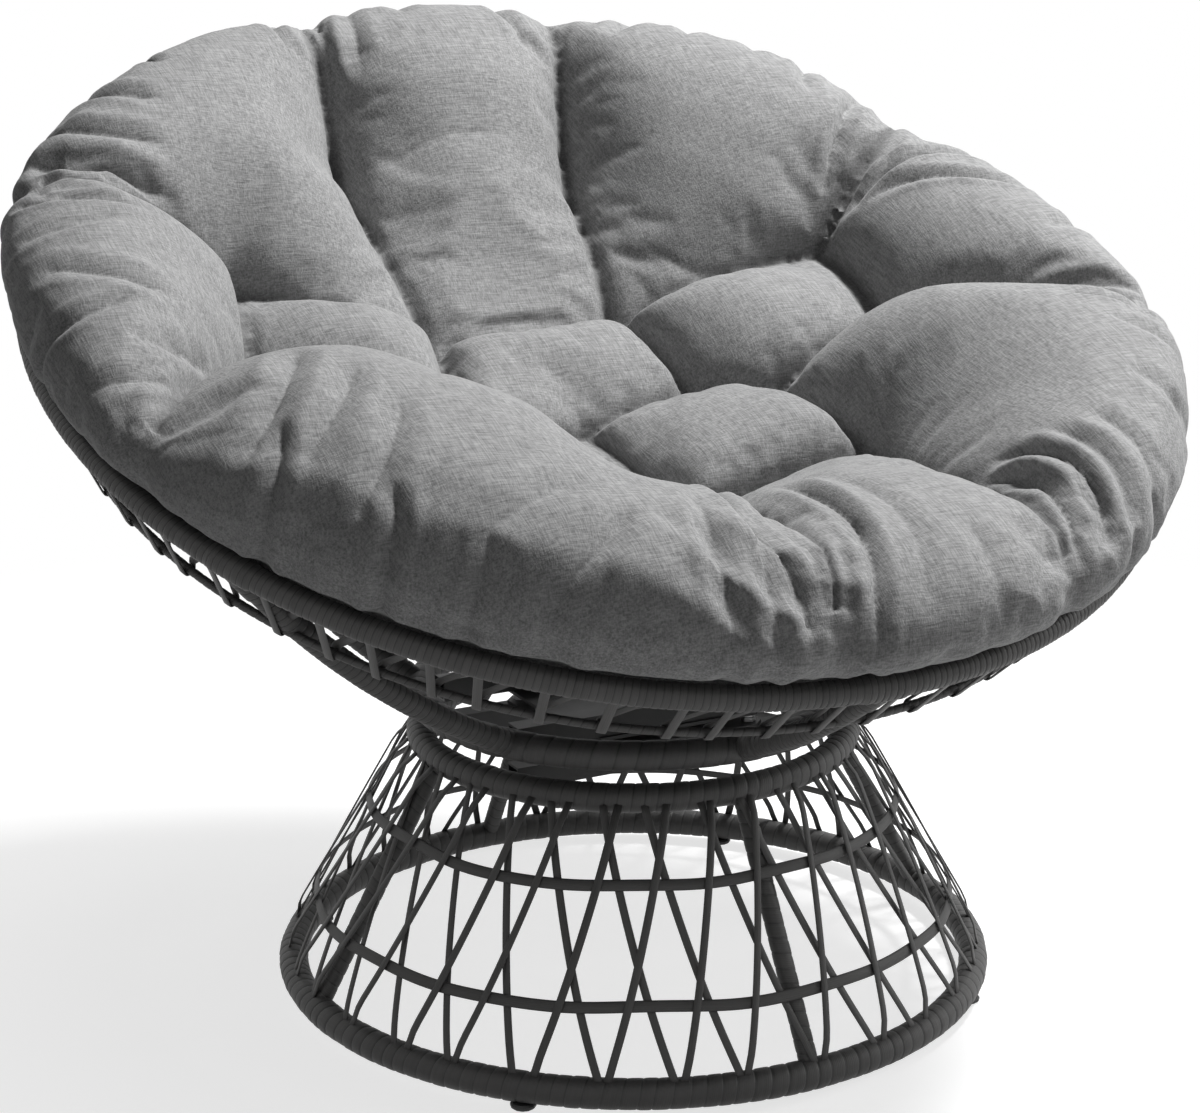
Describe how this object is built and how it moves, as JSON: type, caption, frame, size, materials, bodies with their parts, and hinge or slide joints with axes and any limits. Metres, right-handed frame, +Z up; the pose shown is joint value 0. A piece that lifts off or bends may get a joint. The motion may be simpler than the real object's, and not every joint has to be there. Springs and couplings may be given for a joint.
{
  "type": "papasan chair",
  "caption": "Round papasan chair: tilted laced-wicker bowl that swivels on a flared drum base, with a thick tufted round cushion lying loose in the bowl.",
  "frame": {"origin": "floor level, under the middle of the chair's outer box; the swivel axis stands 52 mm in front of it, towards -Y", "axes": "+Z up; the front of the seat, the low side of the tilted bowl, faces -Y; +X is the right-hand side as seen from the front"},
  "size_m": [1.0295, 0.9628, 0.832],
  "materials": {
    "steel": "satin",
    "zinc": "satin",
    "wicker": "matte",
    "wrap": "matte",
    "fabric": "matte",
    "plastic": "matte"
  },
  "bodies": {
    "base": {"base_cross_bar_back": "steel", "base_cross_bar_front": "steel", "base_floor_ring": "steel", "base_floor_ring_wrap": "wrap", "base_hoop_lower": "wicker", "base_hoop_upper": "wicker", "base_lacing_left_1": "wicker", "base_lacing_left_2": "wicker", "base_lacing_right_1": "wicker", "base_lacing_right_2": "wicker", "base_leg_back": "steel", "base_leg_front": "steel", "base_leg_left": "steel", "base_leg_right": "steel", "base_top_ring": "steel", "base_top_ring_wrap": "wrap", "glide_foot_back_left": "plastic", "glide_foot_back_right": "plastic", "glide_foot_front_left": "plastic", "glide_foot_front_right": "plastic", "lower_plate_bolt_1": "zinc", "lower_plate_bolt_2": "zinc", "lower_plate_bolt_3": "zinc", "lower_plate_bolt_4": "zinc", "swivel_bearing": "zinc", "swivel_pin": "zinc", "swivel_plate_lower": "steel"},
    "bowl": {"bowl_cross_bar_back": "steel", "bowl_cross_bar_front": "steel", "bowl_hoop_1": "wicker", "bowl_hoop_2": "wicker", "bowl_hoop_3": "wicker", "bowl_hoop_4": "wicker", "bowl_hoop_5": "wicker", "bowl_hoop_6": "wicker", "bowl_lacing_1": "wicker", "bowl_lacing_2": "wicker", "bowl_lacing_3": "wicker", "bowl_lacing_4": "wicker", "bowl_lacing_5": "wicker", "bowl_lacing_6": "wicker", "bowl_rib_1": "wrap", "bowl_rib_2": "wrap", "bowl_rib_3": "wrap", "bowl_rib_4": "wrap", "bowl_rib_5": "wrap", "bowl_rib_6": "wrap", "bowl_rim_ring": "steel", "bowl_rim_wrap": "wrap", "bowl_seat_ring": "steel", "bowl_seat_ring_wrap": "wrap", "swivel_plate_upper": "steel", "upper_plate_bolt_1": "zinc", "upper_plate_bolt_2": "zinc", "upper_plate_bolt_3": "zinc", "upper_plate_bolt_4": "zinc"},
    "cushion": {"cushion": "fabric"}
  },
  "joints": [
    {"name": "bowl_swivel", "type": "hinge", "parent": "base", "child": "bowl", "pos_m": [0, -0.052, 0.248], "axis": [0, 0, 1], "continuous": true},
    {"name": "cushion_lift", "type": "slide", "parent": "bowl", "child": "cushion", "axis": [0, -0.3822, 0.9241], "range_m": [0, 0.25]}
  ]
}
